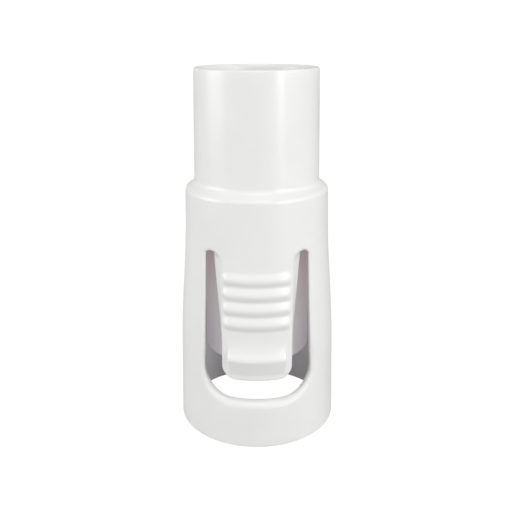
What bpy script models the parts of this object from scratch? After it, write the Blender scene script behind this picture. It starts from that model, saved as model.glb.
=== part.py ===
"""Push-fit suction tip connector: a tube that takes a 16 mm suction tip, on a latching sleeve.

Frame: +Z up along the tube's axis, origin at the middle of the sleeve's base, the release tongue
facing -Y. Lengths below are in millimetres, and MM turns them into Blender's metres.
"""

import math

import bmesh
import bpy
from mathutils import Matrix, Vector

MM = 0.001

# Clearances and mesh fineness
GAP = 0.3
ROUND_SEGMENTS = 60
SMALL_SEGMENTS = 48
WIRE_SEGMENTS = 8

# Overall heights above the base
RIM_Z = 53.5
SHOULDER_TOP_Z = 37.75
SHOULDER_FOOT_Z = 35.9

# Tip socket: the thin upper tube, for a tip of 16 mm outer diameter
SOCKET_BORE_R = 8.1
SOCKET_RIM_R = 8.96
SOCKET_FOOT_R = 9.18
RIM_ROUND = 0.25
LEAD_IN_WIDTH = 0.25
LEAD_IN_DEPTH = 0.5

# Latch sleeve: the outer shell
SLEEVE_TOP_R = 10.53
SLEEVE_DRAFT = 0.0215
FLARE_RISE = 0.62
FLARE_TOP_Z = 31.4
FLARE_DEPTH = 18.6
SHOULDER_HOLLOW_R = 1.0
SHOULDER_ROUND_R = 0.8
SHOULDER_SLOPE_DEG = 58.0
SLEEVE_WALL = 1.3
BASE_OUTER_ROUND = 0.15
BASE_INNER_ROUND = 0.3
SEAT_R = SOCKET_FOOT_R + GAP

# Inner ledge of the sleeve, and the stack of rings that stands on it
LEDGE_BOTTOM_Z = 30.2
LEDGE_TOP_Z = 31.2
FLANGE_BOTTOM_Z = LEDGE_TOP_Z + GAP
FLANGE_TOP_Z = 32.4
STOP_STEP = 0.15
SEAL_BOTTOM_Z = FLANGE_TOP_Z - STOP_STEP + GAP
SEAL_TOP_Z = 33.8
SOCKET_END_Z = SEAL_TOP_Z + GAP

# Airway tube: the spigot inside the sleeve
AIRWAY_R = 7.85
AIRWAY_BORE_R = 6.6
AIRWAY_END_Z = 11.3
AIRWAY_END_ROUND = 0.3
FLANGE_R = SEAT_R - 0.34
TIP_STOP_R = 7.6
LEDGE_HOLE_R = AIRWAY_R + GAP

# Rubber rings
SEAL_LIP_R = 7.7
SEAL_LIP_NOSE = 0.3
O_RING_WIRE_R = 0.5
O_RING_MEAN_R = 8.0
O_RING_Z = 28.2
O_RING_GROOVE_R = O_RING_MEAN_R - O_RING_WIRE_R - GAP
GASKET_BOTTOM_Z = 29.25
GASKET_TOP_Z = LEDGE_BOTTOM_Z - GAP
GASKET_INNER_R = AIRWAY_R + 0.35
GASKET_OUTER_R = 9.05
COLLAR_STOP_R = 8.6

# Retaining ring: a split wire ring half in the socket, half in the sleeve
WIRE_R = 0.4
WIRE_MEAN_R = 9.33
WIRE_Z = 35.4
WIRE_SPLIT_DEG = 20.0
GROOVE_HALF_HEIGHT = WIRE_R + GAP
SOCKET_GROOVE_R = WIRE_MEAN_R - WIRE_R - GAP
SLEEVE_GROOVE_R = WIRE_MEAN_R + WIRE_R + GAP

# Window in the front of the sleeve, seen from the front as half-widths and heights
WINDOW_BOTTOM_Z = 7.05
WINDOW_HALF_BOTTOM = 7.6
WINDOW_HALF_TOP = 7.18
WINDOW_CORNER_R = 4.0
SLOT_TOP_Z = 28.86
SLOT_PEAK_X = 6.42
ROOT_Z = 27.5
CUT_NEAR_Y = -14.0
CUT_FAR_Y = -5.0

# Release tongue
TONGUE_HALF = 4.97
TONGUE_TIP_Z = 10.48
TONGUE_CORNER_R = 1.9
SPLAY_AT_ROOT = 1.1
SPLAY_END_Z = 15.5
TONGUE_ROOT_Z = ROOT_Z - GAP
HINGE_Y = -9.6
HINGE_Z = 27.35

# Finger ridges and the pad on the tongue's face
RIDGE_COUNT = 4
RIDGE_FIRST_Z = 25.35
RIDGE_PITCH = 2.13
RIDGE_HALF_LENGTH = 4.5
RIDGE_HALF_HEIGHT = 0.95
RIDGE_RADIAL = 0.6
RIDGE_SUNK = 0.15
PAD_HALF_LENGTH = 4.1
PAD_TOP_Z = 15.9
PAD_CREST_TOP_Z = 14.3
PAD_CREST_Z = 13.6
PAD_FOOT_Z = 11.45
PAD_PROUD = 0.75
PAD_SUNK = 0.4

# Catch on the tongue's back, which drops into the hose collar's groove
CATCH_HEIGHT = 0.75
CATCH_TOP_Z = 14.0
CATCH_FACE = 0.15
CATCH_CREST_Z = 13.0
CATCH_FOOT_Z = 11.4


# ---------------------------------------------------------------- shapes shared by the pieces

def smooth_step(t):
    t = min(max(t, 0.0), 1.0)
    return t * t * (3.0 - 2.0 * t)


def sleeve_radius(z):
    """Outer radius of the sleeve: a light draft, plus a flare that starts below the shoulder."""
    draft = SLEEVE_DRAFT * (SHOULDER_FOOT_Z - z)
    flare = FLARE_RISE * smooth_step((FLARE_TOP_Z - z) / FLARE_DEPTH)
    return SLEEVE_TOP_R + draft + flare


def shoulder_profile(steps=4):
    """The shoulder from the socket down to the skirt: a hollow, a slope and a rounded edge."""
    slope = math.radians(SHOULDER_SLOPE_DEG)
    hollow_x = SOCKET_FOOT_R + SHOULDER_HOLLOW_R
    points = []
    for turn in spread(0.0, slope, steps):
        points.append((hollow_x - SHOULDER_HOLLOW_R * math.cos(turn),
                       SHOULDER_TOP_Z - SHOULDER_HOLLOW_R * math.sin(turn)))
    for turn in spread(slope, 0.0, steps):
        points.append((SLEEVE_TOP_R - SHOULDER_ROUND_R * (1.0 - math.cos(turn)),
                       SHOULDER_FOOT_Z + SHOULDER_ROUND_R * math.sin(turn)))
    return points


def spread(start, end, count):
    """Evenly spaced values from start to end, both included."""
    return [start + (end - start) * i / (count - 1) for i in range(count)]


def arc(centre_x, centre_z, radius_x, radius_z, start_deg, end_deg, count):
    """Points on an elliptical arc, both ends included."""
    points = []
    for angle in spread(math.radians(start_deg), math.radians(end_deg), count):
        points.append((centre_x + radius_x * math.cos(angle), centre_z + radius_z * math.sin(angle)))
    return points


def remove_old_objects():
    for old in list(bpy.data.objects):
        bpy.data.objects.remove(old, do_unlink=True)


def make_material(name, colour, roughness, metallic=0.0):
    material = bpy.data.materials.new(name)
    material.use_nodes = True
    shader = material.node_tree.nodes["Principled BSDF"]
    shader.inputs["Base Color"].default_value = (*colour, 1.0)
    shader.inputs["Roughness"].default_value = roughness
    shader.inputs["Metallic"].default_value = metallic
    return material


def finish_object(name, bm, material=None):
    """Turn a bmesh into an object with outward faces and smooth round shading."""
    bmesh.ops.recalc_face_normals(bm, faces=bm.faces)
    mesh = bpy.data.meshes.new(name)
    bm.to_mesh(mesh)
    bm.free()
    mesh.shade_smooth()
    mesh.set_sharp_from_angle(angle=math.radians(35.0))
    obj = bpy.data.objects.new(name, mesh)
    bpy.context.scene.collection.objects.link(obj)
    if material is not None:
        mesh.materials.append(material)
    return obj


def turned_bmesh(outline, segments, start_deg=0.0, sweep_deg=360.0):
    """Spin a closed (radius, height) outline about the tube's axis."""
    bm = bmesh.new()
    start = Matrix.Rotation(math.radians(start_deg), 3, "Z")
    verts = [bm.verts.new(start @ Vector((r * MM, 0.0, z * MM))) for r, z in outline]
    edges = [bm.edges.new((verts[i - 1], verts[i])) for i in range(len(verts))]
    whole_turn = sweep_deg >= 360.0
    profile = edges
    if not whole_turn:
        profile = edges + [bm.faces.new(verts)]
    bmesh.ops.spin(
        bm, geom=verts + profile, cent=(0.0, 0.0, 0.0), axis=(0.0, 0.0, 1.0),
        angle=math.radians(sweep_deg), steps=segments, use_merge=whole_turn, use_duplicate=False)
    bmesh.ops.remove_doubles(bm, verts=bm.verts, dist=0.001 * MM)
    return bm


def turned(name, outline, material, segments=ROUND_SEGMENTS):
    return finish_object(name, turned_bmesh(outline, segments), material)


def as_operand(obj):
    """Mark an object as a Boolean's operand, which isn't a piece of its own."""
    obj.hide_render = True
    obj.display_type = "WIRE"
    return obj


def add_boolean(target, operand, operation):
    modifier = target.modifiers.new(operand.name, "BOOLEAN")
    modifier.operation = operation
    modifier.solver = "EXACT"
    modifier.object = as_operand(operand)


# ---------------------------------------------------------------- the pieces

def make_tip_socket(material):
    """Thin upper tube, open on top, with a groove for the retaining ring near its lower end."""
    outline = arc(SOCKET_RIM_R - RIM_ROUND, RIM_Z - RIM_ROUND, RIM_ROUND, RIM_ROUND, 90.0, 0.0, 4)
    outline += [
        (SOCKET_FOOT_R, SHOULDER_TOP_Z),
        (SOCKET_FOOT_R, WIRE_Z + GROOVE_HALF_HEIGHT),
        (SOCKET_GROOVE_R, WIRE_Z + GROOVE_HALF_HEIGHT),
        (SOCKET_GROOVE_R, WIRE_Z - GROOVE_HALF_HEIGHT),
        (SOCKET_FOOT_R, WIRE_Z - GROOVE_HALF_HEIGHT),
        (SOCKET_FOOT_R, SOCKET_END_Z),
        (SOCKET_BORE_R, SOCKET_END_Z),
        (SOCKET_BORE_R, RIM_Z - LEAD_IN_DEPTH),
        (SOCKET_BORE_R + LEAD_IN_WIDTH, RIM_Z),
    ]
    return turned("tip_socket", outline, material)


def sleeve_outline():
    """Section of the sleeve: shoulder, flared skirt, base, inner wall, ledge and seat."""
    base_r = sleeve_radius(0.0)
    inner_base_r = base_r - SLEEVE_WALL
    points = [(r, z) for r, z in shoulder_profile() if r > SEAT_R + 0.05]
    points.insert(0, (SEAT_R, points[0][1]))
    points += [(sleeve_radius(z), z) for z in spread(FLARE_TOP_Z, BASE_OUTER_ROUND, 10)]
    points += arc(base_r - BASE_OUTER_ROUND, BASE_OUTER_ROUND, BASE_OUTER_ROUND, BASE_OUTER_ROUND,
                  -30.0, -90.0, 3)
    points += arc(inner_base_r + BASE_INNER_ROUND, BASE_INNER_ROUND, BASE_INNER_ROUND, BASE_INNER_ROUND,
                  -90.0, -180.0, 3)
    points += [(sleeve_radius(z) - SLEEVE_WALL, z) for z in spread(9.0, LEDGE_BOTTOM_Z, 5)]
    points += [
        (LEDGE_HOLE_R, LEDGE_BOTTOM_Z),
        (LEDGE_HOLE_R, LEDGE_TOP_Z),
        (SEAT_R, LEDGE_TOP_Z),
        (SEAT_R, WIRE_Z - GROOVE_HALF_HEIGHT),
        (SLEEVE_GROOVE_R, WIRE_Z - GROOVE_HALF_HEIGHT),
        (SLEEVE_GROOVE_R, WIRE_Z + GROOVE_HALF_HEIGHT),
        (SEAT_R, WIRE_Z + GROOVE_HALF_HEIGHT),
    ]
    return points


def window_outline():
    """Half of the window's edge (x over 0), from the tongue's root round to the bottom's middle."""
    edge = arc(SLOT_PEAK_X, ROOT_Z, SLOT_PEAK_X - TONGUE_HALF, SLOT_TOP_Z - ROOT_Z, 180.0, 90.0, 6)
    outer_radius = WINDOW_HALF_TOP - SLOT_PEAK_X
    edge += arc(SLOT_PEAK_X, SLOT_TOP_Z - outer_radius, outer_radius, outer_radius, 90.0, 0.0, 6)[1:]
    edge += arc(WINDOW_HALF_BOTTOM - WINDOW_CORNER_R, WINDOW_BOTTOM_Z + WINDOW_CORNER_R,
                WINDOW_CORNER_R, WINDOW_CORNER_R, 0.0, -90.0, 9)
    return edge


def make_window_cutter():
    """Straight prism along Y with the window's shape."""
    half = window_outline()
    outline = half + [(-x, z) for x, z in reversed(half)]
    bm = bmesh.new()
    near = bm.faces.new([bm.verts.new((x * MM, CUT_NEAR_Y * MM, z * MM)) for x, z in outline])
    pushed = bmesh.ops.extrude_face_region(bm, geom=[near])
    moved = [item for item in pushed["geom"] if isinstance(item, bmesh.types.BMVert)]
    bmesh.ops.translate(bm, verts=moved, vec=(0.0, (CUT_FAR_Y - CUT_NEAR_Y) * MM, 0.0))
    return finish_object("window_cutter", bm)


def make_latch_sleeve(material):
    sleeve = turned("latch_sleeve", sleeve_outline(), material)
    add_boolean(sleeve, make_window_cutter(), "DIFFERENCE")
    return sleeve


def tongue_half_width(z):
    """Half-width of the tongue's face, narrowed by the round corners at its free end."""
    rise = z - TONGUE_TIP_Z
    if rise >= TONGUE_CORNER_R:
        return TONGUE_HALF
    sunk = TONGUE_CORNER_R - rise
    return TONGUE_HALF - TONGUE_CORNER_R + math.sqrt(TONGUE_CORNER_R ** 2 - sunk ** 2)


def tongue_splay(z):
    """How much wider the tongue is at its back than at its face, on each side."""
    reach = (z - SPLAY_END_Z) / (ROOT_Z - SPLAY_END_Z)
    return SPLAY_AT_ROOT * max(reach, 0.0)


def catch_height(z):
    """How far the catch stands off the tongue's back: a ramp below, a steep face on top."""
    if z >= CATCH_TOP_Z or z <= CATCH_FOOT_Z:
        return 0.0
    if z >= CATCH_TOP_Z - CATCH_FACE:
        return CATCH_HEIGHT
    return CATCH_HEIGHT * min((z - CATCH_FOOT_Z) / (CATCH_CREST_Z - CATCH_FOOT_Z), 1.0)


def tongue_section(z, across=9):
    """Closed section of the tongue at one height: face arc, then back arc."""
    face_r = sleeve_radius(z)
    back_r = face_r - SLEEVE_WALL - catch_height(z)
    face_half = tongue_half_width(z)
    back_half = face_half + tongue_splay(z)
    face = [(x, -math.sqrt(face_r ** 2 - x ** 2)) for x in spread(-face_half, face_half, across)]
    back = [(x, -math.sqrt(back_r ** 2 - x ** 2)) for x in spread(back_half, -back_half, across)]
    return [Vector((x * MM, y * MM, z * MM)) for x, y in face + back]


def tongue_heights():
    """Heights of the tongue's sections, root first, closer together round its corners and catch."""
    heights = spread(TONGUE_ROOT_Z, SPLAY_END_Z, 8)
    heights += [CATCH_TOP_Z, CATCH_TOP_Z - CATCH_FACE, CATCH_CREST_Z]
    corner_centre = TONGUE_TIP_Z + TONGUE_CORNER_R
    for turn in spread(90.0, 15.0, 6):
        heights.append(corner_centre - TONGUE_CORNER_R * math.cos(math.radians(turn)))
    heights.append(TONGUE_TIP_Z)
    return heights


def make_ridge(index):
    """One rounded finger ridge, curved with the tongue's face."""
    z = RIDGE_FIRST_Z - index * RIDGE_PITCH
    mean_r = sleeve_radius(z) - RIDGE_SUNK
    half_angle = math.degrees(math.asin(RIDGE_HALF_LENGTH / mean_r))
    outline = arc(mean_r, z, RIDGE_RADIAL, RIDGE_HALF_HEIGHT, 0.0, 324.0, 10)
    bm = turned_bmesh(outline, 8, -90.0 - half_angle, 2.0 * half_angle)
    return finish_object("ridge_%d" % (index + 1), bm)


def make_pad():
    """Raised pad near the free end: a long ramp above, a short steeper face below."""
    crest_r = sleeve_radius(PAD_CREST_Z) + PAD_PROUD
    half_angle = math.degrees(math.asin(PAD_HALF_LENGTH / crest_r))
    outline = [
        (sleeve_radius(PAD_TOP_Z) - PAD_SUNK, PAD_TOP_Z),
        (sleeve_radius(PAD_TOP_Z), PAD_TOP_Z),
        (sleeve_radius(PAD_CREST_TOP_Z) + PAD_PROUD, PAD_CREST_TOP_Z),
        (crest_r, PAD_CREST_Z),
        (sleeve_radius(PAD_FOOT_Z), PAD_FOOT_Z),
        (sleeve_radius(PAD_FOOT_Z) - PAD_SUNK, PAD_FOOT_Z),
    ]
    return finish_object("pad", turned_bmesh(outline, 8, -90.0 - half_angle, 2.0 * half_angle))


def make_release_tongue(material):
    """Springy tongue between the slots, with ridges, pad and catch; its origin is its hinge line."""
    bm = bmesh.new()
    loops = []
    for z in tongue_heights():
        loops.append([bm.verts.new(point) for point in tongue_section(z)])
    for upper, lower in zip(loops, loops[1:]):
        for i in range(len(upper)):
            bm.faces.new((upper[i - 1], upper[i], lower[i], lower[i - 1]))
    bm.faces.new(loops[0])
    bm.faces.new(loops[-1])
    tongue = finish_object("release_tongue", bm, material)
    for index in range(RIDGE_COUNT):
        add_boolean(tongue, make_ridge(index), "UNION")
    add_boolean(tongue, make_pad(), "UNION")
    hinge = Vector((0.0, HINGE_Y * MM, HINGE_Z * MM))
    tongue.data.transform(Matrix.Translation(-hinge))
    tongue.location = hinge
    return tongue


def make_airway_tube(material):
    """Inner tube with an O-ring groove and a flange, whose raised inner rim stops the tip."""
    groove_half = O_RING_WIRE_R + GAP
    outline = [
        (AIRWAY_BORE_R, FLANGE_TOP_Z),
        (TIP_STOP_R, FLANGE_TOP_Z),
        (TIP_STOP_R + STOP_STEP, FLANGE_TOP_Z - STOP_STEP),
        (FLANGE_R, FLANGE_TOP_Z - STOP_STEP),
        (FLANGE_R, FLANGE_BOTTOM_Z),
        (AIRWAY_R, FLANGE_BOTTOM_Z),
        (AIRWAY_R, O_RING_Z + groove_half),
        (O_RING_GROOVE_R, O_RING_Z + groove_half),
        (O_RING_GROOVE_R, O_RING_Z - groove_half),
        (AIRWAY_R, O_RING_Z - groove_half),
    ]
    outline += arc(AIRWAY_R - AIRWAY_END_ROUND, AIRWAY_END_Z + AIRWAY_END_ROUND, AIRWAY_END_ROUND,
                   AIRWAY_END_ROUND, 0.0, -90.0, 3)
    outline += arc(AIRWAY_BORE_R + AIRWAY_END_ROUND, AIRWAY_END_Z + AIRWAY_END_ROUND, AIRWAY_END_ROUND,
                   AIRWAY_END_ROUND, -90.0, -180.0, 3)
    return turned("airway_tube", outline, material)


def make_socket_seal_ring(material):
    """Rubber ring on the socket's floor; its rounded lip grips the end of the tip."""
    middle_z = (SEAL_BOTTOM_Z + SEAL_TOP_Z) / 2.0
    half = (SEAL_TOP_Z - SEAL_BOTTOM_Z) / 2.0
    outline = [(FLANGE_R, SEAL_TOP_Z), (FLANGE_R, SEAL_BOTTOM_Z)]
    outline += arc(SEAL_LIP_R + SEAL_LIP_NOSE, middle_z, SEAL_LIP_NOSE, half, 270.0, 90.0, 7)
    return turned("socket_seal_ring", outline, material, SMALL_SEGMENTS)


def make_retaining_ring(material):
    """Split ring of round wire."""
    outline = arc(WIRE_MEAN_R, WIRE_Z, WIRE_R, WIRE_R, 0.0, 360.0 - 360.0 / WIRE_SEGMENTS, WIRE_SEGMENTS)
    bm = turned_bmesh(outline, SMALL_SEGMENTS, 90.0 + WIRE_SPLIT_DEG / 2.0, 360.0 - WIRE_SPLIT_DEG)
    return finish_object("retaining_ring", bm, material)


def make_spigot_o_ring(material):
    outline = arc(O_RING_MEAN_R, O_RING_Z, O_RING_WIRE_R, O_RING_WIRE_R, 0.0, 324.0, 10)
    return turned("spigot_o_ring", outline, material, SMALL_SEGMENTS)


def make_collar_gasket(material):
    """Ring under the ledge; the hose collar's end comes up against its outer rim."""
    outline = [
        (GASKET_OUTER_R, GASKET_TOP_Z),
        (GASKET_OUTER_R, GASKET_BOTTOM_Z),
        (COLLAR_STOP_R, GASKET_BOTTOM_Z),
        (COLLAR_STOP_R - STOP_STEP, GASKET_BOTTOM_Z + STOP_STEP),
        (GASKET_INNER_R, GASKET_BOTTOM_Z + STOP_STEP),
        (GASKET_INNER_R, GASKET_TOP_Z),
    ]
    return turned("collar_gasket", outline, material, SMALL_SEGMENTS)


def main():
    remove_old_objects()
    white = (0.86, 0.86, 0.85)
    grey = (0.62, 0.60, 0.60)
    make_tip_socket(make_material("socket_plastic", white, 0.28))
    make_latch_sleeve(make_material("sleeve_plastic", white, 0.28))
    make_release_tongue(make_material("tongue_plastic", white, 0.28))
    make_airway_tube(make_material("airway_plastic", white, 0.35))
    make_socket_seal_ring(make_material("seal_rubber", grey, 0.6))
    make_spigot_o_ring(make_material("o_ring_rubber", grey, 0.6))
    make_collar_gasket(make_material("gasket_rubber", grey, 0.6))
    make_retaining_ring(make_material("spring_wire", (0.6, 0.6, 0.58), 0.3, 1.0))


main()
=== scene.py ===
"""Looks of the push-fit suction tip connector: fine meshes, moulded plastic, studio and camera.

Lengths are in millimetres until mesh_object() turns them into metres. The tongue faces -Y.
"""

import math

import bmesh
import bpy
import numpy as np
from mathutils import Matrix, Vector
from mathutils.geometry import delaunay_2d_cdt


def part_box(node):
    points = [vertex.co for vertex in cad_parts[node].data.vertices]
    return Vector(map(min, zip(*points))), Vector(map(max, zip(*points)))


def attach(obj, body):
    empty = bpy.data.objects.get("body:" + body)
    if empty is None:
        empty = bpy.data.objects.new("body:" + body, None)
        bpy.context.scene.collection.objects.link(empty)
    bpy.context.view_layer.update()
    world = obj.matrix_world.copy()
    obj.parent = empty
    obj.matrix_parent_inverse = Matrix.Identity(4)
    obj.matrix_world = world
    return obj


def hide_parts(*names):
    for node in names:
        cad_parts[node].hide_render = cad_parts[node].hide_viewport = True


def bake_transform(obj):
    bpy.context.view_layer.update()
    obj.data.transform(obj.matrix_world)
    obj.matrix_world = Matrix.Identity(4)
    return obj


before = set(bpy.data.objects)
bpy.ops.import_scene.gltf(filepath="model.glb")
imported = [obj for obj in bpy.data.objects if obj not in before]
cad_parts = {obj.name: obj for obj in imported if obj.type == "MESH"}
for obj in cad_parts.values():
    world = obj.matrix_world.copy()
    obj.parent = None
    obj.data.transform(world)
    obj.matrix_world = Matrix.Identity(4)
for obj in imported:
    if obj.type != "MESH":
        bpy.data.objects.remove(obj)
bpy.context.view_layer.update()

MM = 0.001
SLEEVE_BODY = "sleeve_body"
TONGUE_BODY = "tongue_body"


def low_high(node):
    """Lowest and highest corner of a CAD node, in millimetres."""
    low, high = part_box(node)
    return [value / MM for value in low], [value / MM for value in high]


SOCKET_HIGH = low_high("tip_socket")[1]
AIRWAY_LOW, AIRWAY_HIGH = low_high("airway_tube")
SEAL_LOW, SEAL_HIGH = low_high("socket_seal_ring")
GASKET_LOW, GASKET_HIGH = low_high("collar_gasket")
O_RING_LOW, O_RING_HIGH = low_high("spigot_o_ring")
WIRE_LOW, WIRE_HIGH = low_high("retaining_ring")

# Fineness of the round pieces
COLUMNS = 160
FILLET_STEPS = 6
INNER_STEPS = 3
SHARP_DEG = 38.0
SNUG = 0.02

# Tip socket
RIM_Z = SOCKET_HIGH[2]
RIM_R = 8.96
SOCKET_FOOT_R = SOCKET_HIGH[0]
BORE_R = 8.1
RIM_ROUND = 0.3
LEAD_IN = 0.25

# Sleeve
SHOULDER_TOP_Z = 37.75
SHOULDER_FOOT_Z = 35.9
SHOULDER_HOLLOW_R = 1.0
SHOULDER_ROUND_R = 0.8
SHOULDER_SLOPE_DEG = 58.0
SLEEVE_TOP_R = 10.53
SLEEVE_DRAFT = 0.0215
FLARE_RISE = 0.62
FLARE_TOP_Z = 31.4
FLARE_DEPTH = 18.6
WALL = 1.3
BASE_ROUND = 0.15
BASE_INNER_ROUND = 0.3
LEDGE_BOTTOM_Z = GASKET_HIGH[2] + 0.3
LEDGE_TOP_Z = LEDGE_BOTTOM_Z + 1.0
LEDGE_ROUND = 0.4
LIP_GAP = 0.004


# Window and tongue, seen from the front
WINDOW_BOTTOM_Z = 7.05
WINDOW_HALF_BOTTOM = 7.6
WINDOW_HALF_TOP = 7.18
WINDOW_CORNER_R = 4.0
SLOT_TOP_Z = 28.86
SLOT_PEAK_X = 6.42
ROOT_Z = 27.5
TONGUE_HALF = 4.97
TONGUE_TIP_Z = 10.48
TONGUE_CORNER_R = 1.9
SPLAY_AT_ROOT = 1.1
SPLAY_END_Z = 15.5

# Rounding of the window's and the tongue's edges
LIP_ROUND = 1.0
SLOT_ROUND = 0.5
TONGUE_ROUND = 0.28
INNER_ROUND = 0.15

# Finger ridges, pad and catch
RIDGE_COUNT = 4
RIDGE_FIRST_Z = 25.25
RIDGE_PITCH = 2.13
RIDGE_HALF_HEIGHT = 1.065
RIDGE_STRAIGHT = 4.0
RIDGE_PROUD = 0.38
PAD_TOP_Z = 16.6
PAD_CREST_Z = 13.85
PAD_FOOT_Z = 11.25
PAD_CREST_ROUND = 0.5
PAD_HALF = 4.25
PAD_SIDE = 0.4
PAD_PROUD = 0.80
CATCH_HEIGHT = 0.75
CATCH_TOP_Z = 14.0
CATCH_CREST_Z = 13.0
CATCH_FOOT_Z = 11.4
CATCH_HALF = 4.2
CATCH_STEEP = 0.35
CATCH_SIDE = 0.4

# Airway tube
AIRWAY_R = 7.85
AIRWAY_BORE_R = 6.6
FLANGE_R = AIRWAY_HIGH[0]

# Rings
O_RING_Z = (O_RING_LOW[2] + O_RING_HIGH[2]) / 2.0
O_RING_R = (O_RING_HIGH[2] - O_RING_LOW[2]) / 2.0
O_RING_MEAN_R = O_RING_HIGH[0] - O_RING_R
O_RING_LOW_R = O_RING_MEAN_R - O_RING_R
SEAL_LIP_R = 7.7
SEAL_NOSE = 0.3
WIRE_R = (WIRE_HIGH[2] - WIRE_LOW[2]) / 2.0
WIRE_Z = (WIRE_HIGH[2] + WIRE_LOW[2]) / 2.0
WIRE_MEAN_R = (WIRE_HIGH[0] - WIRE_LOW[0]) / 2.0 - WIRE_R
WIRE_SPLIT_DEG = 20.0
WIRE_SIDES = 20

# Plastics
WHITE_LIGHT = (0.80, 0.80, 0.79)
WHITE_DARK = (0.775, 0.775, 0.768)
WHITE_ROUGHNESS = 0.30

# Part of the tongue that bends, in metres
BEND_START = (0.0, -0.0107, ROOT_Z * MM)
BEND_END = (0.0, -0.0107, 0.022)

# Studio
BACKDROP_SEEN = 1.05
BACKDROP_LIGHT = 0.50
FLOOR_HALF = 0.6
FLOOR_COLOUR = (0.5, 0.5, 0.505, 1.0)
FLOOR_GLOW = 1.06
FLOOR_GLOW_SHARE = 0.96

# Softboxes: name, azimuth, elevation, distance, width, height, power
SOFTBOXES = (
    ("strip_right", 43.0, 6.0, 0.35, 0.05, 0.30, 0.50),
    ("box_right", 61.0, 25.0, 0.45, 0.30, 0.26, 0.57),
    ("box_left", -79.0, 12.0, 0.45, 0.30, 0.26, 1.10),
    ("overhead", 0.0, 55.0, 0.45, 0.20, 0.14, 0.38),
)

# Camera, in metres and degrees
CAMERA_Y = -0.09683
CAMERA_ABOVE_RIM = 0.00494
CAMERA_TILT_DEG = 75.0
CAMERA_ROLL_DEG = -0.12
CAMERA_LENS = 47.05
CAMERA_SHIFT_X = -0.0016
CAMERA_SHIFT_Y = -0.0902


# ---------------------------------------------------------------- mesh tools

def smooth_step(t):
    t = min(max(t, 0.0), 1.0)
    return t * t * (3.0 - 2.0 * t)


def spread(start, end, count):
    return [start + (end - start) * i / (count - 1) for i in range(count)]


def arc(centre_x, centre_z, radius_x, radius_z, start_deg, end_deg, count):
    points = []
    for angle in spread(math.radians(start_deg), math.radians(end_deg), count):
        points.append((centre_x + radius_x * math.cos(angle), centre_z + radius_z * math.sin(angle)))
    return points


def rounded(corners):
    """Closed outline from (x, z, radius) corners, each corner replaced by an arc of that radius."""
    points = []
    count = len(corners)
    for i in range(count):
        x, z, radius = corners[i]
        here = Vector((x, z))
        back = (Vector(corners[i - 1][:2]) - here).normalized()
        ahead = (Vector(corners[(i + 1) % count][:2]) - here).normalized()
        if radius <= 0.0:
            points.append((x, z))
            continue
        half = back.angle(ahead) / 2.0
        reach = radius / math.tan(half)
        centre = here + (back + ahead).normalized() * radius / math.sin(half)
        first = here + back * reach - centre
        last = here + ahead * reach - centre
        turn = first.angle_signed(last)
        for step in range(FILLET_STEPS + 1):
            angle = -turn * step / FILLET_STEPS
            cos, sin = math.cos(angle), math.sin(angle)
            points.append((centre.x + first.x * cos - first.y * sin,
                           centre.y + first.x * sin + first.y * cos))
    return points


def mesh_object(name, points, faces, merge=True):
    """Object from points in millimetres, with outward faces and smooth shading."""
    mesh = bpy.data.meshes.new(name)
    mesh.from_pydata([tuple(value * MM for value in point) for point in points], [], faces)
    bm = bmesh.new()
    bm.from_mesh(mesh)
    if merge:
        bmesh.ops.remove_doubles(bm, verts=bm.verts, dist=1e-8)
    bmesh.ops.recalc_face_normals(bm, faces=bm.faces)
    bm.to_mesh(mesh)
    bm.free()
    mesh.shade_smooth()
    mesh.set_sharp_from_angle(angle=math.radians(SHARP_DEG))
    obj = bpy.data.objects.new(name, mesh)
    bpy.context.scene.collection.objects.link(obj)
    return obj


def ring_points(radius, z):
    """One horizontal ring of points, starting behind the part and running round its left side."""
    points = []
    for i in range(COLUMNS):
        angle = -math.pi + 2.0 * math.pi * i / COLUMNS
        points.append((radius * math.sin(angle), -radius * math.cos(angle), z))
    return points


def turned(name, outline):
    """Closed ring-shaped piece, its (radius, height) outline turned about the axis."""
    points = []
    for radius, z in outline:
        points += ring_points(radius, z)
    faces = []
    rows = len(outline)
    for row in range(rows):
        here = row * COLUMNS
        below = ((row + 1) % rows) * COLUMNS
        for i in range(COLUMNS):
            after = (i + 1) % COLUMNS
            faces.append((here + i, here + after, below + after, below + i))
    return mesh_object(name, points, faces)


# ---------------------------------------------------------------- the sleeve's surfaces

def sleeve_radius(z):
    draft = SLEEVE_DRAFT * (SHOULDER_FOOT_Z - z)
    flare = FLARE_RISE * smooth_step((FLARE_TOP_Z - z) / FLARE_DEPTH)
    return SLEEVE_TOP_R + draft + flare


def on_tongue(x, z):
    return abs(x) < TONGUE_HALF and TONGUE_TIP_Z < z < ROOT_Z


def ridge_height(x, z):
    """Height of the four finger ridges: bars with round ends and a round top."""
    height = 0.0
    beyond = max(abs(x) - RIDGE_STRAIGHT, 0.0)
    for index in range(RIDGE_COUNT):
        above = z - (RIDGE_FIRST_Z - index * RIDGE_PITCH)
        distance = math.hypot(beyond, above) / RIDGE_HALF_HEIGHT
        if distance < 1.0:
            height = max(height, RIDGE_PROUD * math.cos(distance * math.pi / 2.0) ** 1.5)
    return height


def pad_height(x, z):
    """Height of the pad: a hollow ramp down to its round crest, then a short flat face to its foot."""
    ramp = max((PAD_TOP_Z - z) / (PAD_TOP_Z - PAD_CREST_Z), 0.0) ** 2.6
    face = max((z - PAD_FOOT_Z) / (PAD_CREST_Z - PAD_FOOT_Z), 0.0)
    meeting = max(PAD_CREST_ROUND - abs(ramp - face), 0.0) / PAD_CREST_ROUND
    height = max(min(ramp, face) - PAD_CREST_ROUND * meeting ** 2 / 4.0, 0.0)
    side = smooth_step((PAD_HALF - abs(x)) / PAD_SIDE)
    return PAD_PROUD * height * side


def outer_radius(x, z):
    radius = sleeve_radius(z)
    if on_tongue(x, z):
        radius += ridge_height(x, z) + pad_height(x, z)
    return radius


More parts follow.
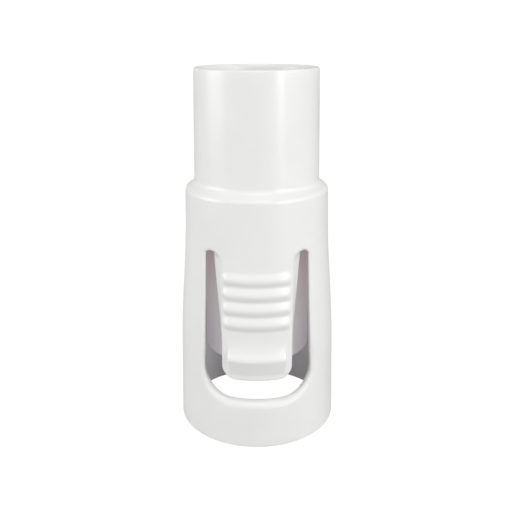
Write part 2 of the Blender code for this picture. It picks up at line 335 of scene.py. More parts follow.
def catch_height(x, z):
    """The catch on the tongue's back: a ramp below and a steep face on top."""
    if z <= CATCH_FOOT_Z or z >= CATCH_TOP_Z:
        return 0.0
    ramp = smooth_step((z - CATCH_FOOT_Z) / (CATCH_CREST_Z - CATCH_FOOT_Z))
    steep = smooth_step((CATCH_TOP_Z - z) / CATCH_STEEP)
    side = smooth_step((CATCH_HALF - abs(x)) / CATCH_SIDE)
    return CATCH_HEIGHT * ramp * steep * side


def inner_radius(x, z):
    radius = sleeve_radius(z) - WALL
    if on_tongue(x, z):
        radius -= catch_height(x, z)
    return radius


def on_surface(radius_at, x, z):
    """Point of the front half of a surface, from its place seen from the front."""
    radius = radius_at(x, z)
    return Vector((x, -math.sqrt(radius ** 2 - x ** 2), z))


# ---------------------------------------------------------------- the U-shaped opening

def splay(z):
    reach = (z - SPLAY_END_Z) / (ROOT_Z - SPLAY_END_Z)
    return SPLAY_AT_ROOT * max(reach, 0.0)


def opening_half():
    """The opening's edge for x over 0, from the window's bottom round to the tongue's tip.

    Each entry is (x, z, x on the inner surface, rounding of the outer edge, is on the tongue).
    """
    edge = []
    corner_x = WINDOW_HALF_BOTTOM - WINDOW_CORNER_R
    corner_z = WINDOW_BOTTOM_Z + WINDOW_CORNER_R
    bottom = [(x, WINDOW_BOTTOM_Z) for x in spread(0.0, corner_x, 13)[:-1]]
    bottom += arc(corner_x, corner_z, WINDOW_CORNER_R, WINDOW_CORNER_R, -90.0, 0.0, 27)
    edge += [(x, z, x, LIP_ROUND, False) for x, z in bottom]
    top_r = WINDOW_HALF_TOP - SLOT_PEAK_X
    for t in spread(0.0, 1.0, 48)[1:]:
        x = WINDOW_HALF_BOTTOM + (WINDOW_HALF_TOP - WINDOW_HALF_BOTTOM) * t
        z = corner_z + (SLOT_TOP_Z - top_r - corner_z) * t
        rounding = LIP_ROUND + (SLOT_ROUND - LIP_ROUND) * smooth_step(t / 0.6)
        edge.append((x, z, x, rounding, False))
    for x, z in arc(SLOT_PEAK_X, SLOT_TOP_Z - top_r, top_r, top_r, 0.0, 90.0, 11)[1:]:
        edge.append((x, z, x, SLOT_ROUND, False))
    reach_out = SLOT_PEAK_X - TONGUE_HALF
    inside_share = (reach_out - SPLAY_AT_ROOT) / reach_out
    fall = arc(SLOT_PEAK_X, ROOT_Z, reach_out, SLOT_TOP_Z - ROOT_Z, 90.0, 180.0, 16)[1:]
    for i, (x, z) in enumerate(fall):
        inside = SLOT_PEAK_X - (SLOT_PEAK_X - x) * inside_share
        rounding = SLOT_ROUND + (TONGUE_ROUND - SLOT_ROUND) * (i + 1) / len(fall)
        edge.append((x, z, inside, rounding, False))
    tip_corner_z = TONGUE_TIP_Z + TONGUE_CORNER_R
    for z in spread(ROOT_Z, tip_corner_z, 52)[1:]:
        edge.append((TONGUE_HALF, z, TONGUE_HALF + splay(z), TONGUE_ROUND, True))
    tip_corner_x = TONGUE_HALF - TONGUE_CORNER_R
    tip = arc(tip_corner_x, tip_corner_z, TONGUE_CORNER_R, TONGUE_CORNER_R, 0.0, -90.0, 17)[1:]
    tip += [(x, TONGUE_TIP_Z) for x in spread(tip_corner_x, 0.0, 12)[1:]]
    edge += [(x, z, x, TONGUE_ROUND, True) for x, z in tip]
    return edge


def whole_opening():
    """The closed edge, the hole on its left, with (nx, nz) into the material added to each entry."""
    right = opening_half()
    left = [(-x, z, -inside, rounding, tongue) for x, z, inside, rounding, tongue in right[1:-1]]
    edge = right + left[::-1]
    count = len(edge)
    full = []
    for i, entry in enumerate(edge):
        before = edge[i - 1]
        after = edge[(i + 1) % count]
        along = Vector((after[0] - before[0], after[1] - before[1])).normalized()
        normal = (along.y, -along.x)
        if abs(entry[1] - ROOT_Z) < 1e-6:
            normal = (-math.copysign(1.0, entry[0]), 0.0)
        full.append(entry + (normal,))
    return full


class Shell:
    """Points and faces of the sleeve and its tongue, which share the seam at the tongue's root."""

    def __init__(self):
        self.points = []
        self.faces = {"sleeve": [], "tongue": []}

    def add(self, points):
        first = len(self.points)
        self.points += [tuple(point) for point in points]
        return list(range(first, len(self.points)))

    def strip(self, owner, one, two):
        """Quads between two closed rows of the same length."""
        for i in range(len(one)):
            self.faces[owner].append((one[i - 1], one[i], two[i], two[i - 1]))


def edge_rows(shell, edge):
    """Rows of points over the opening's rounded outer edge, its wall and its inner edge."""
    rows = []
    for k in range(FILLET_STEPS + 1):
        phi = math.pi / 2.0 * k / FILLET_STEPS
        rows.append(edge_row(edge, outer_radius, 1.0 - math.sin(phi), 1.0 - math.cos(phi), None))
    for share in (0.33, 0.67):
        rows.append(wall_row(edge, share))
    for k in range(INNER_STEPS, -1, -1):
        phi = math.pi / 2.0 * k / INNER_STEPS
        rows.append(edge_row(edge, inner_radius, 1.0 - math.sin(phi), 1.0 - math.cos(phi), INNER_ROUND))
    return [shell.add(row) for row in rows]


def wall_direction(entry):
    x, z, inside, rounding, tongue, normal = entry
    outer = on_surface(outer_radius, x, z)
    inner = on_surface(inner_radius, inside, z)
    return outer, inner, (inner - outer).normalized()


def edge_row(edge, radius_at, out_share, deep_share, fixed_rounding):
    """One row over a rounded edge, at shares of its rounding out from the hole and into the wall."""
    row = []
    for entry in edge:
        x, z, inside, rounding, tongue, (nx, nz) = entry
        outer, inner, direction = wall_direction(entry)
        if fixed_rounding is None:
            start_x, size, sign = x, rounding, 1.0
        else:
            start_x, size, sign = inside, fixed_rounding, -1.0
        out = size * out_share
        surface = on_surface(radius_at, start_x + nx * out, z + nz * out)
        row.append(surface + direction * sign * size * deep_share)
    return row


def wall_row(edge, share):
    row = []
    for entry in edge:
        rounding = entry[3]
        outer, inner, direction = wall_direction(entry)
        start = outer + direction * rounding
        end = inner - direction * INNER_ROUND
        row.append(start.lerp(end, share))
    return row


def inside_polygon(x, y, polygon):
    """Even-odd test of arrays of points against one closed polygon."""
    inside = np.zeros(len(x), bool)
    px, py = polygon[:, 0], polygon[:, 1]
    qx, qy = np.roll(px, 1), np.roll(py, 1)
    for ax, ay, bx, by in zip(px, py, qx, qy):
        crosses = (ay > y) != (by > y)
        with np.errstate(divide="ignore", invalid="ignore"):
            at = (bx - ax) * (y - ay) / (by - ay) + ax
        inside ^= crosses & (x < at)
    return inside


def flat_place(point):
    """Unrolled place of a point: angle round the axis as a length, and height."""
    return math.atan2(point[0], -point[1]) * SLEEVE_TOP_R, point[2]


def surface_faces(shell, radius_at, hole_row, rows_z, bottom_row, top_row, fine_step, root_ids):
    """Fill the unrolled surface round the opening with triangles, finely on the tongue."""
    flat = []
    ids = []

    def put(place, index):
        flat.append(place)
        ids.append(index)
        return len(flat) - 1

    hole = [put(flat_place(shell.points[i]), i) for i in hole_row]
    outline = np.array([flat[i] for i in hole])
    constraints = [(hole[i - 1], hole[i]) for i in range(len(hole))]

    root = [hole[hole_row.index(root_ids[0])]]
    root += [put(flat_place(shell.points[i]), i) for i in root_ids[1:-1]]
    root.append(hole[hole_row.index(root_ids[-1])])
    constraints += list(zip(root, root[1:]))

    half_turn = math.pi * SLEEVE_TOP_R
    step = 2.0 * half_turn / COLUMNS
    border = {}
    for row_index, row in ((0, bottom_row), (len(rows_z) - 1, top_row)):
        line = [put((-half_turn + step * i, rows_z[row_index]), row[i % COLUMNS])
                for i in range(COLUMNS + 1)]
        constraints += list(zip(line, line[1:]))
        border[row_index] = line
    left, right = [border[0][0]], [border[0][-1]]
    for z in rows_z[1:-1]:
        index = shell.add([(0.0, front_radius(radius_at, math.pi, z), z)])[0]
        left.append(put((-half_turn, z), index))
        right.append(put((half_turn, z), index))
    left.append(border[len(rows_z) - 1][0])
    right.append(border[len(rows_z) - 1][-1])
    constraints += list(zip(left, left[1:])) + list(zip(right, right[1:]))

    places = []
    for z in rows_z[1:-1]:
        for i in range(1, COLUMNS):
            places.append((-half_turn + step * i, z, step * 0.6))
    for z in np.arange(TONGUE_TIP_Z + fine_step, ROOT_Z - fine_step * 0.6, fine_step):
        for x in np.arange(-TONGUE_HALF, TONGUE_HALF + 0.001, fine_step):
            angle = math.asin(x / sleeve_radius(z))
            places.append((angle * SLEEVE_TOP_R, z, -fine_step * 0.6))
    places = np.array(places)
    keep = ~inside_polygon(places[:, 0], places[:, 1], outline)
    dense = np.abs(places[:, 2])
    for s, z in outline:
        keep &= np.hypot(places[:, 0] - s, places[:, 1] - z) > dense
    tongue_s = [place[0] for place in outline if on_tongue_flat(place)]
    widest = max(tongue_s)
    coarse = places[:, 2] > 0.0
    over_tongue = (np.abs(places[:, 0]) < widest) & (places[:, 1] < ROOT_Z + 0.1)
    over_tongue &= places[:, 1] > TONGUE_TIP_Z
    keep &= ~(coarse & over_tongue)
    for s, z, _ in places[keep]:
        angle = s / SLEEVE_TOP_R
        radius = front_radius(radius_at, angle, z)
        put((s, z), shell.add([(radius * math.sin(angle), -radius * math.cos(angle), z)])[0])

    result = delaunay_2d_cdt([Vector(place) for place in flat], constraints, [], 0, 1e-6, True)
    coords, faces, origins = result[0], result[2], result[3]
    middles = np.array([[sum(coords[i][k] for i in face) / 3.0 for k in (0, 1)] for face in faces])
    dropped = inside_polygon(middles[:, 0], middles[:, 1], outline)
    for face, middle, drop in zip(faces, middles, dropped):
        if drop:
            continue
        corners = [ids[origins[i][0]] for i in face]
        if len(set(corners)) < 3:
            continue
        owner = "tongue" if on_tongue_flat(middle) else "sleeve"
        shell.faces[owner].append(tuple(corners))


def on_tongue_flat(place):
    """Whether an unrolled place lies between the slots, under the root's seam."""
    reach = math.asin(min((TONGUE_HALF + splay(place[1])) / (sleeve_radius(place[1]) - WALL), 1.0))
    return abs(place[0]) < reach * SLEEVE_TOP_R and TONGUE_TIP_Z < place[1] < ROOT_Z


def front_radius(radius_at, angle, z):
    """Radius at an angle round the axis; ridges, pad and catch are only on the front."""
    if abs(angle) > math.pi / 4.0:
        return radius_at(2.0 * TONGUE_HALF, z)
    return radius_at(sleeve_radius(z) * math.sin(angle), z)


def ring_chain(shell, outline, first_row, last_row):
    """Turned strips from one row of points to another, through the rings of an outline."""
    rows = [first_row] + [shell.add(ring_points(radius, z)) for radius, z in outline] + [last_row]
    for one, two in zip(rows, rows[1:]):
        shell.strip("sleeve", one, two)


def shoulder_outline():
    """From the skirt's top over the shoulder, up its hollow to the socket, and down the seat."""
    slope = math.radians(SHOULDER_SLOPE_DEG)
    points = []
    for turn in spread(0.0, slope, 12)[1:]:
        points.append((SLEEVE_TOP_R - SHOULDER_ROUND_R * (1.0 - math.cos(turn)),
                       SHOULDER_FOOT_Z + SHOULDER_ROUND_R * math.sin(turn)))
    hollow_x = SOCKET_FOOT_R + LIP_GAP + SHOULDER_HOLLOW_R
    for turn in spread(slope, 0.0, 14):
        points.append((hollow_x - SHOULDER_HOLLOW_R * math.cos(turn),
                       SHOULDER_TOP_Z - SHOULDER_HOLLOW_R * math.sin(turn)))
    groove = WIRE_R + SNUG
    for z, radius in ((WIRE_Z + groove, SOCKET_FOOT_R), (WIRE_Z + groove, WIRE_MEAN_R + groove),
                      (WIRE_Z - groove, WIRE_MEAN_R + groove), (WIRE_Z - groove, SOCKET_FOOT_R)):
        points.append((radius + SNUG, z))
    return points


def make_sleeve_and_tongue():
    shell = Shell()
    edge = whole_opening()
    rows = edge_rows(shell, edge)
    count = len(edge)
    for one, two in zip(rows, rows[1:]):
        for i in range(count):
            owner = "tongue" if edge[i - 1][4] or edge[i][4] else "sleeve"
            shell.faces[owner].append((one[i - 1], one[i], two[i], two[i - 1]))

    root_places = [i for i in range(count) if abs(edge[i][1] - ROOT_Z) < 1e-6]
    right_root, left_root = sorted(root_places, key=lambda i: -edge[i][0])

    def root_line(row, radius_at, step):
        """Seam across the tongue's root, left to right, on one surface."""
        start, end = shell.points[row[left_root]], shell.points[row[right_root]]
        number = int((end[0] - start[0]) / step)
        xs = spread(start[0], end[0], number)[1:-1]
        between = shell.add([on_surface(radius_at, x, ROOT_Z) for x in xs])
        return [row[left_root]] + between + [row[right_root]]

    outer_z = spread(BASE_ROUND, SHOULDER_FOOT_Z, 56)
    inner_top_z = LEDGE_BOTTOM_Z - LEDGE_ROUND
    inner_z = spread(BASE_INNER_ROUND, inner_top_z, 40)
    outer_bottom = shell.add(ring_points(sleeve_radius(outer_z[0]), outer_z[0]))
    outer_top = shell.add(ring_points(sleeve_radius(outer_z[-1]), outer_z[-1]))
    inner_bottom = shell.add(ring_points(sleeve_radius(inner_z[0]) - WALL, inner_z[0]))
    inner_top = shell.add(ring_points(sleeve_radius(inner_z[-1]) - WALL, inner_z[-1]))

    outer_root = root_line(rows[0], outer_radius, 0.2)
    inner_root = root_line(rows[-1], inner_radius, 0.3)
    surface_faces(shell, outer_radius, rows[0], outer_z, outer_bottom, outer_top, 0.17, outer_root)
    surface_faces(shell, inner_radius, rows[-1], inner_z, inner_bottom, inner_top, 0.3, inner_root)

    over = shoulder_outline()
    over += [(SOCKET_FOOT_R + SNUG, LEDGE_TOP_Z), (AIRWAY_R + SNUG, LEDGE_TOP_Z)]
    over += [(AIRWAY_R + SNUG, LEDGE_BOTTOM_Z)]
    inner_top_r = sleeve_radius(inner_top_z) - WALL
    over += arc(inner_top_r - LEDGE_ROUND, LEDGE_BOTTOM_Z - LEDGE_ROUND, LEDGE_ROUND, LEDGE_ROUND,
                90.0, 15.0, 6)
    ring_chain(shell, over, outer_top, inner_top)

    base_r = sleeve_radius(BASE_ROUND)
    inner_base_r = sleeve_radius(BASE_INNER_ROUND) - WALL
    under = arc(base_r - BASE_ROUND, BASE_ROUND, BASE_ROUND, BASE_ROUND, -12.0, -90.0, 7)
    under += arc(inner_base_r + BASE_INNER_ROUND, BASE_INNER_ROUND, BASE_INNER_ROUND, BASE_INNER_ROUND,
                 -90.0, -168.0, 6)
    ring_chain(shell, under, outer_bottom, inner_bottom)

    right_column = [row[right_root] for row in rows]
    left_column = [row[left_root] for row in rows]
    cap = outer_root + right_column[1:-1] + inner_root[::-1] + left_column[::-1][1:-1]
    return cut_shell(shell, cap)


def cut_shell(shell, cap):
    """The sleeve and the tongue as two closed pieces, shaded as if they were still one."""
    split = len(shell.faces["sleeve"])
    whole = mesh_object("whole_shell", shell.points, shell.faces["sleeve"] + shell.faces["tongue"],
                        merge=False)
    mesh = whole.data
    corners = [tuple(face.vertices) for face in mesh.polygons]
    sharp = {tuple(sorted(line.vertices)) for line in mesh.edges if line.use_edge_sharp}
    sharp |= {tuple(sorted(pair)) for pair in zip(cap, cap[1:] + cap[:1])}
    normals = [[tuple(mesh.corner_normals[i].vector) for i in face.loop_indices]
               for face in mesh.polygons]
    bpy.data.objects.remove(whole)
    bpy.data.meshes.remove(mesh)
    pieces = []
    for name, chosen, cap_up in (("sleeve_shell", slice(0, split), -1.0),
                                 ("tongue_blade", slice(split, None), 1.0)):
        faces = corners[chosen] + [tuple(cap) if cap_up < 0.0 else tuple(cap[::-1])]
        face_normals = normals[chosen] + [[(0.0, 0.0, cap_up)] * len(cap)]
        used = sorted({i for face in faces for i in face})
        place = {old: new for new, old in enumerate(used)}
        piece = bpy.data.meshes.new(name)
        piece.from_pydata([tuple(v * MM for v in shell.points[i]) for i in used], [],
                          [tuple(place[i] for i in face) for face in faces])
        piece.shade_smooth()
        for line in piece.edges:
            line.use_edge_sharp = tuple(sorted(used[i] for i in line.vertices)) in sharp
        piece.normals_split_custom_set([normal for face in face_normals for normal in face])
        obj = bpy.data.objects.new(name, piece)
        bpy.context.scene.collection.objects.link(obj)
        pieces.append(obj)
    return pieces


# ---------------------------------------------------------------- the other pieces

def make_tip_socket():
    """Thin open tube with a rounded rim; its foot and its groove are inside the sleeve."""
    bottom = SEAL_HIGH[2] + SNUG
    groove = WIRE_R + SNUG
    outline = rounded([
        (RIM_R, RIM_Z, RIM_ROUND),
        (SOCKET_FOOT_R, SHOULDER_TOP_Z, 0.0),
        (SOCKET_FOOT_R, WIRE_Z + groove, 0.0),
        (WIRE_MEAN_R - groove, WIRE_Z + groove, 0.0),
        (WIRE_MEAN_R - groove, WIRE_Z - groove, 0.0),
        (SOCKET_FOOT_R, WIRE_Z - groove, 0.0),
        (SOCKET_FOOT_R, bottom, 0.1),
        (BORE_R, bottom, 0.1),
        (BORE_R, RIM_Z - 2.0 * LEAD_IN, 0.0),
        (BORE_R + LEAD_IN, RIM_Z, 0.1),
    ])
    fine = []
    for one, two in zip(outline, outline[1:] + outline[:1]):
        steps = max(int(math.hypot(two[0] - one[0], two[1] - one[1]) / 1.5), 1)
        fine += [(one[0] + (two[0] - one[0]) * i / steps, one[1] + (two[1] - one[1]) * i / steps)
                 for i in range(steps)]
    return turned("socket_tube", fine)


def make_airway_tube():
    """Inner tube: flange on the sleeve's ledge, groove for the O-ring, round lower end."""
    top = SEAL_LOW[2] - SNUG
    stop = AIRWAY_HIGH[2]
    groove_r = O_RING_LOW_R - SNUG
    ring_half = O_RING_R + SNUG
    outline = rounded([
        (AIRWAY_BORE_R, stop, 0.2),
        (7.6, stop, 0.08),
        (7.6 + stop - top, top, 0.0),
        (FLANGE_R, top, 0.1),
        (FLANGE_R, LEDGE_TOP_Z + SNUG, 0.1),
        (AIRWAY_R, LEDGE_TOP_Z + SNUG, 0.0),
        (AIRWAY_R, O_RING_Z + ring_half, 0.08),
        (groove_r, O_RING_Z + ring_half, 0.1),
        (groove_r, O_RING_Z - ring_half, 0.1),
        (AIRWAY_R, O_RING_Z - ring_half, 0.08),
        (AIRWAY_R, AIRWAY_LOW[2], 0.45),
        (AIRWAY_BORE_R, AIRWAY_LOW[2], 0.45),
    ])
    return turned("airway_pipe", outline)


def make_seal_ring():
    middle = (SEAL_LOW[2] + SEAL_HIGH[2]) / 2.0
    half = (SEAL_HIGH[2] - SEAL_LOW[2]) / 2.0
    outline = [(SEAL_HIGH[0], SEAL_HIGH[2]), (SEAL_HIGH[0], SEAL_LOW[2])]
    outline += arc(SEAL_LIP_R + SEAL_NOSE, middle, SEAL_NOSE, half, 270.0, 90.0, 17)
    return turned("tip_seal", outline)


def make_o_ring():
    outline = arc(O_RING_MEAN_R, O_RING_Z, O_RING_R, O_RING_R, 0.0, 345.0, 24)
    return turned("airway_o_ring", outline)


def make_gasket():
    inner = AIRWAY_R + SNUG
    outer = GASKET_HIGH[0]
    outline = rounded([
        (inner, LEDGE_BOTTOM_Z - SNUG, 0.1),
        (outer, LEDGE_BOTTOM_Z - SNUG, 0.1),
        (outer, GASKET_LOW[2], 0.15),
        (8.6, GASKET_LOW[2], 0.05),
        (8.45, GASKET_LOW[2] + 0.15, 0.0),
        (inner, GASKET_LOW[2] + 0.15, 0.1),
    ])
    return turned("collar_seal", outline)


def make_wire_ring():
    """Split ring of round wire with rounded ends."""
    points = []
    faces = []
    half_gap = math.radians(WIRE_SPLIT_DEG / 2.0)
    stations = [(half_gap + math.radians(angle), radius) for angle, radius in
                ((0.0, 0.0), (0.25, 0.55), (0.8, 0.85), (1.6, 1.0))]
    straight = 2.0 * math.pi - 2.0 * half_gap - math.radians(3.2)
    stations += [(half_gap + math.radians(1.6) + t * straight, 1.0)
                 for t in spread(0.0, 1.0, COLUMNS)[1:-1]]
    stations += [(2.0 * math.pi - angle, radius) for angle, radius in stations[3::-1]]
    for angle, share in stations:
        for k in range(WIRE_SIDES):
            turn = 2.0 * math.pi * k / WIRE_SIDES
            radius = WIRE_MEAN_R + WIRE_R * share * math.cos(turn)
            z = WIRE_Z + WIRE_R * share * math.sin(turn)
            points.append((-radius * math.sin(angle), radius * math.cos(angle), z))
    for row in range(len(stations) - 1):
        for k in range(WIRE_SIDES):
            after = (k + 1) % WIRE_SIDES
            here, below = row * WIRE_SIDES, (row + 1) * WIRE_SIDES
            faces.append((here + k, here + after, below + after, below + k))
    return mesh_object("snap_ring", points, faces)


# ---------------------------------------------------------------- materials

class Nodes:
    """Short calls for building one material's node tree."""

    def __init__(self, name):
        self.material = bpy.data.materials.new(name)
        self.material.use_nodes = True
        self.tree = self.material.node_tree
        self.shader = self.tree.nodes["Principled BSDF"]
        coordinates = self.tree.nodes.new("ShaderNodeTexCoord")
        self.place = coordinates.outputs["Object"]

    def link(self, source, target):
        self.tree.links.new(source, target)

    def noise(self, scale, detail=3.0, stretch=(1.0, 1.0, 1.0)):
        mapping = self.tree.nodes.new("ShaderNodeMapping")
        mapping.inputs["Scale"].default_value = stretch
        self.link(self.place, mapping.inputs["Vector"])
        node = self.tree.nodes.new("ShaderNodeTexNoise")
        node.inputs["Scale"].default_value = scale
        node.inputs["Detail"].default_value = detail
        self.link(mapping.outputs["Vector"], node.inputs["Vector"])
        return node.outputs["Fac"]

    def ramp(self, value, low, high, from_low=0.3, from_high=0.7):
        node = self.tree.nodes.new("ShaderNodeMapRange")
        node.inputs["From Min"].default_value = from_low
        node.inputs["From Max"].default_value = from_high
        node.inputs["To Min"].default_value = low
        node.inputs["To Max"].default_value = high
        self.link(value, node.inputs["Value"])
        return node.outputs["Result"]

    def mix(self, share, one, two):
        """Blend of two colours, each a plain colour or a socket."""
        node = self.tree.nodes.new("ShaderNodeMix")
        node.data_type = "RGBA"
        self.link(share, node.inputs["Factor"])
        for name, colour in (("A", one), ("B", two)):
            socket = [item for item in node.inputs if item.name == name and item.type == "RGBA"][0]
            if isinstance(colour, tuple):
                socket.default_value = (*colour, 1.0)
            else:
                self.link(colour, socket)
        return [item for item in node.outputs if item.type == "RGBA"][0]

    def height(self):
        split = self.tree.nodes.new("ShaderNodeSeparateXYZ")
        self.link(self.place, split.inputs["Vector"])
        return split.outputs["Z"]

    def bump(self, value, strength, distance):
        node = self.tree.nodes.new("ShaderNodeBump")
        node.inputs["Strength"].default_value = strength
        node.inputs["Distance"].default_value = distance
        self.link(value, node.inputs["Height"])
        self.link(node.outputs["Normal"], self.shader.inputs["Normal"])


def moulded_plastic(name, light, dark, roughness):
    """White injection-moulded plastic: faint flow clouding, a satin polish and fine orange peel."""
    nodes = Nodes(name)
    clouds = nodes.ramp(nodes.noise(140.0, 3.0), 0.0, 1.0)
    nodes.link(nodes.mix(clouds, dark, light), nodes.shader.inputs["Base Color"])
    polish = nodes.ramp(nodes.noise(420.0, 2.0), roughness - 0.02, roughness + 0.03)
    nodes.link(polish, nodes.shader.inputs["Roughness"])
    nodes.bump(nodes.noise(1500.0, 1.0), 0.03, 0.00002)
    nodes.shader.inputs["IOR"].default_value = 1.49
    return nodes


def painted_glow(nodes, low, high, strength):
    """Painted glow: emission that stands in for daylight coming through the thin walls, cool near the
    base and warm towards the top.
    """
    # The glow's colour ramps with height, a painted warm light towards the top.
    rise = nodes.ramp(nodes.height(), 0.0, 1.0, 0.017, 0.029)
    nodes.link(nodes.mix(rise, low, high), nodes.shader.inputs["Emission Color"])
    nodes.shader.inputs["Emission Strength"].default_value = strength


def airway_plastic():
    """The inner tube's plastic: its base a little greyer and faintly pink against the sleeve's, as
    painted shade for its place inside the sleeve, with a painted glow on top.
    """
    nodes = moulded_plastic("airway_plastic", (0.66, 0.64, 0.65), (0.63, 0.61, 0.62), 0.4)
    painted_glow(nodes, (0.80, 0.77, 0.80), (0.85, 0.64, 0.62), 0.18)
    return nodes


def bore_shade_glow():
    """The sleeve's bore: a slightly darker copy of the sleeve plastic as painted shade, and a painted
    glow standing in for the light the walls let through.
    """
    nodes = moulded_plastic("bore_shade_glow", (0.76, 0.76, 0.76), (0.74, 0.74, 0.74), 0.42)
    painted_glow(nodes, (0.80, 0.80, 0.82), (0.85, 0.72, 0.70), 0.06)
    return nodes


def seal_rubber():
    nodes = Nodes("seal_rubber")
    grain = nodes.ramp(nodes.noise(700.0, 4.0), 0.0, 1.0)
    colour = nodes.mix(grain, (0.34, 0.33, 0.34), (0.40, 0.39, 0.39))
    nodes.link(colour, nodes.shader.inputs["Base Color"])
    nodes.link(nodes.ramp(grain, 0.55, 0.68, 0.0, 1.0), nodes.shader.inputs["Roughness"])
    nodes.bump(nodes.noise(3200.0, 3.0), 0.15, 0.00003)
    nodes.shader.inputs["IOR"].default_value = 1.43
    return nodes


def spring_wire():
    nodes = Nodes("spring_wire")
    drawn = nodes.ramp(nodes.noise(1800.0, 3.0, (1.0, 1.0, 6.0)), 0.0, 1.0)
    colour = nodes.mix(drawn, (0.50, 0.50, 0.49), (0.62, 0.61, 0.59))
    nodes.link(colour, nodes.shader.inputs["Base Color"])
    nodes.link(nodes.ramp(drawn, 0.24, 0.36, 0.0, 1.0), nodes.shader.inputs["Roughness"])
    nodes.shader.inputs["Metallic"].default_value = 1.0
    nodes.bump(drawn, 0.1, 0.00002)
    return nodes


# ---------------------------------------------------------------- put the piece together

def paint_bore_faces(obj, nodes):
    """Give the faces of the sleeve's bore their own material, which carries painted shade and a painted
    glow.
    """
    obj.data.materials.append(nodes.material)
    for face in obj.data.polygons:
        x, y, z = [value / MM for value in face.center]
        if math.hypot(x, y) < sleeve_radius(z) - 0.75 * WALL and z < LEDGE_TOP_Z - 0.1:
            face.material_index = 1


def dress(obj, body, node, slot, nodes, **blend):
    obj.data.materials.append(nodes.material)
    if blend:
        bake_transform(obj)
    else:
        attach(obj, body)
    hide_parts(node)


white = moulded_plastic("sleeve_plastic", WHITE_LIGHT, WHITE_DARK, WHITE_ROUGHNESS)
socket_white = moulded_plastic("socket_plastic", WHITE_LIGHT, WHITE_DARK, WHITE_ROUGHNESS)
rubber = seal_rubber()

sleeve, tongue = make_sleeve_and_tongue()
dress(sleeve, SLEEVE_BODY, "latch_sleeve", "sleeve_plastic", white)
dress(tongue, TONGUE_BODY, "release_tongue", "sleeve_plastic", white,
      start=BEND_START, end=BEND_END)
# The bore's own material paints shade and a glow inside the sleeve and the tongue.
inside = bore_shade_glow()
paint_bore_faces(sleeve, inside)
paint_bore_faces(tongue, inside)
dress(make_tip_socket(), SLEEVE_BODY, "tip_socket", "socket_plastic", socket_white)
# The airway tube's material carries painted shade and a painted glow.
dress(make_airway_tube(), SLEEVE_BODY, "airway_tube", "airway_plastic", airway_plastic())
dress(make_seal_ring(), SLEEVE_BODY, "socket_seal_ring", "seal_rubber", rubber)
dress(make_o_ring(), SLEEVE_BODY, "spigot_o_ring", "seal_rubber", rubber)
dress(make_gasket(), SLEEVE_BODY, "collar_gasket", "seal_rubber", rubber)
dress(make_wire_ring(), SLEEVE_BODY, "retaining_ring", "spring_wire", spring_wire())


# ---------------------------------------------------------------- studio

def make_world():
    """White backdrop, with its own strength as a light."""
    world = bpy.data.worlds.new("studio")
    world.use_nodes = True
    tree = world.node_tree
    background = tree.nodes["Background"]
    background.inputs["Color"].default_value = (1.0, 1.0, 1.0, 1.0)
    path = tree.nodes.new("ShaderNodeLightPath")
    strength = tree.nodes.new("ShaderNodeMapRange")
    strength.inputs["To Min"].default_value = BACKDROP_LIGHT
    strength.inputs["To Max"].default_value = BACKDROP_SEEN
    tree.links.new(path.outputs["Is Camera Ray"], strength.inputs["Value"])
    tree.links.new(strength.outputs["Result"], background.inputs["Strength"])
    bpy.context.scene.world = world


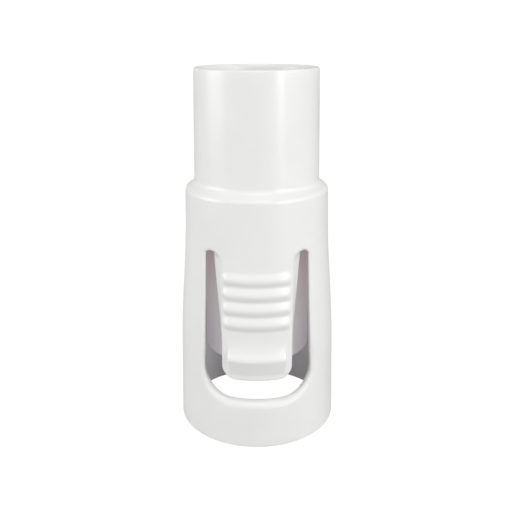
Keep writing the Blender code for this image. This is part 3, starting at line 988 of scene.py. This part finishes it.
def make_floor():
    """Plain pale floor: near white to the camera, with only a breath of contact shadow."""
    size = FLOOR_HALF
    mesh = bpy.data.meshes.new("floor")
    corners = [(-size, -size, 0.0), (size, -size, 0.0), (size, size, 0.0), (-size, size, 0.0)]
    mesh.from_pydata(corners, [], [(0, 1, 2, 3)])
    floor = bpy.data.objects.new("floor", mesh)
    bpy.context.scene.collection.objects.link(floor)
    material = bpy.data.materials.new("floor_card")
    material.use_nodes = True
    tree = material.node_tree
    output = tree.nodes["Material Output"]
    tree.nodes.remove(tree.nodes["Principled BSDF"])
    path = tree.nodes.new("ShaderNodeLightPath")
    card = tree.nodes.new("ShaderNodeBsdfDiffuse")
    card.inputs["Color"].default_value = FLOOR_COLOUR
    glow = tree.nodes.new("ShaderNodeEmission")
    glow.inputs["Color"].default_value = (1.0, 1.0, 1.0, 1.0)
    glow.inputs["Strength"].default_value = FLOOR_GLOW
    seen = tree.nodes.new("ShaderNodeMixShader")
    seen.inputs["Fac"].default_value = FLOOR_GLOW_SHARE
    tree.links.new(card.outputs["BSDF"], seen.inputs[1])
    tree.links.new(glow.outputs["Emission"], seen.inputs[2])
    choose = tree.nodes.new("ShaderNodeMixShader")
    tree.links.new(path.outputs["Is Camera Ray"], choose.inputs["Fac"])
    tree.links.new(card.outputs["BSDF"], choose.inputs[1])
    tree.links.new(seen.outputs["Shader"], choose.inputs[2])
    tree.links.new(choose.outputs["Shader"], output.inputs["Surface"])
    mesh.materials.append(material)


def make_area_light(name, azimuth_deg, elevation_deg, distance, width, height, power):
    """Softbox aimed at the middle of the part; azimuth 0 is in front and turns to the right."""
    light = bpy.data.lights.new(name, "AREA")
    light.shape = "RECTANGLE"
    light.size = width
    light.size_y = height
    light.energy = power
    obj = bpy.data.objects.new(name, light)
    bpy.context.scene.collection.objects.link(obj)
    azimuth = math.radians(azimuth_deg)
    elevation = math.radians(elevation_deg)
    aim = Vector((0.0, 0.0, RIM_Z * MM / 2.0))
    level = math.cos(elevation)
    direction = Vector((math.sin(azimuth) * level, -math.cos(azimuth) * level, math.sin(elevation)))
    obj.location = aim + direction * distance
    obj.rotation_euler = direction.to_track_quat("Z", "Y").to_euler()


def make_camera():
    data = bpy.data.cameras.new("camera")
    data.sensor_width = 36.0
    data.lens = CAMERA_LENS
    data.shift_x = CAMERA_SHIFT_X
    data.shift_y = CAMERA_SHIFT_Y
    data.clip_start = 0.005
    camera = bpy.data.objects.new("camera", data)
    bpy.context.scene.collection.objects.link(camera)
    camera.location = (0.0, CAMERA_Y, RIM_Z * MM + CAMERA_ABOVE_RIM)
    tilt = Matrix.Rotation(math.radians(CAMERA_TILT_DEG), 3, "X")
    roll = Matrix.Rotation(math.radians(CAMERA_ROLL_DEG), 3, "Z")
    camera.rotation_euler = (tilt @ roll).to_euler()
    bpy.context.scene.camera = camera


make_world()
make_floor()
for softbox in SOFTBOXES:
    make_area_light(*softbox)
make_camera()
bpy.context.scene.view_settings.view_transform = "Standard"
